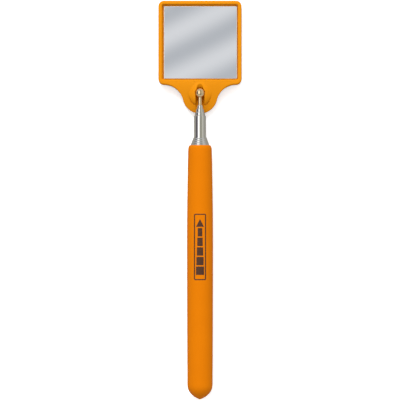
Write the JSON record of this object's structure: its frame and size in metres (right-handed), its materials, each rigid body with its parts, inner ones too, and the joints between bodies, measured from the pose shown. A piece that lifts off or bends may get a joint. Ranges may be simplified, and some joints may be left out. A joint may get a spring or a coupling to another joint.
{
  "type": "telescoping inspection mirror",
  "caption": "Square mirror in a moulded frame that snaps on a ball stud at the end of a telescoping chromed shaft with a dipped vinyl grip.",
  "frame": {"origin": "on the surface that the grip rests on, under the middle of the closed tool", "axes": "+Y along the shaft from the grip's nose to the mirror, +Z the way the mirror faces, +X across"},
  "size_m": [0.054, 0.2586, 0.0168],
  "materials": {
    "vinyl_grip": "satin dipped vinyl",
    "orange_plastic": "glossy moulded plastic",
    "chromed_tube": "polished chrome on steel",
    "spring_brass": "bright rolled",
    "nylon": "natural nylon",
    "black_plastic": "moulded",
    "foam_pad": "double-sided foam",
    "mirror_glass": "silvered glass with ground edges"
  },
  "bodies": {
    "handle": {"grip": "vinyl_grip", "handle_tube": "chromed_tube", "end_plug": "black_plastic"},
    "stage_1": {"tube_1": "chromed_tube", "slide_bush": "nylon"},
    "stage_2": {"tube_2": "chromed_tube", "friction_shell_2a": "spring_brass", "friction_shell_2b": "spring_brass"},
    "stage_3": {"tube_3": "chromed_tube", "friction_shell_3a": "spring_brass", "friction_shell_3b": "spring_brass"},
    "stage_4": {"tube_4": "chromed_tube", "friction_shell_4a": "spring_brass", "friction_shell_4b": "spring_brass", "stud_bush": "spring_brass"},
    "stud": {"stud_shank": "chromed_tube"},
    "ball": {"pivot_ball": "chromed_tube"},
    "head": {"mirror_frame": "orange_plastic", "mirror_glass": "mirror_glass", "adhesive_pad": "foam_pad"}
  },
  "joints": [
    {"name": "slide_1", "type": "slide", "parent": "handle", "child": "stage_1", "axis": [0, 1, 0], "range_m": [0, 0.13]},
    {"name": "slide_2", "type": "slide", "parent": "stage_1", "child": "stage_2", "axis": [0, 1, 0], "range_m": [0, 0.145]},
    {"name": "slide_3", "type": "slide", "parent": "stage_2", "child": "stage_3", "axis": [0, 1, 0], "range_m": [0, 0.145]},
    {"name": "slide_4", "type": "slide", "parent": "stage_3", "child": "stage_4", "axis": [0, 1, 0], "range_m": [0, 0.145]},
    {"name": "head_swivel", "type": "hinge", "parent": "stage_4", "child": "stud", "pos_m": [0, 0.06957, 0.00842], "axis": [0, 1, 0], "continuous": true},
    {"name": "head_lean", "type": "hinge", "parent": "stud", "child": "ball", "pos_m": [0, 0.06957, 0.00842], "axis": [0, 0, 1], "range_deg": [-4, 4]},
    {"name": "head_tilt", "type": "hinge", "parent": "ball", "child": "head", "pos_m": [0, 0.06957, 0.00842], "axis": [1, 0, 0], "range_deg": [0, 140]}
  ]
}
